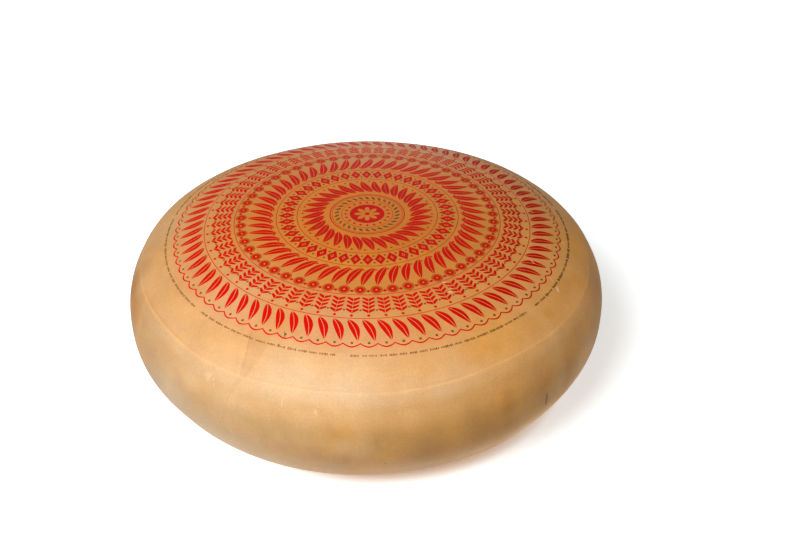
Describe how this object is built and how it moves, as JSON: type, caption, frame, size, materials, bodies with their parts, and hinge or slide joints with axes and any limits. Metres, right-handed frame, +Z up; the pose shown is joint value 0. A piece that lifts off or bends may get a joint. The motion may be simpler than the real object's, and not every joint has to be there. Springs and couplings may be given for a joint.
{
  "type": "whole wheel of emmental cheese",
  "caption": "Whole round wheel of hard cheese lying flat, with a domed top, moulded edges at the shoulder and heel, a bulging side and a flat underside.",
  "frame": {"origin": "middle of the flat underside, on the surface that the wheel lies on", "axes": "+Z up along the wheel's axis, -Y towards the viewer of the picture, +X to the viewer's right"},
  "size_m": [0.7994, 0.8006, 0.265],
  "materials": {
    "rind": "dry golden cheese rind, matte to satin, paler at the shoulder and browner on the side",
    "red_print": "matte red food ink pressed into the rind",
    "brown_print": "matte olive-brown food ink pressed into the rind"
  },
  "bodies": {
    "root": {"cheese_wheel": "rind"}
  },
  "joints": []
}
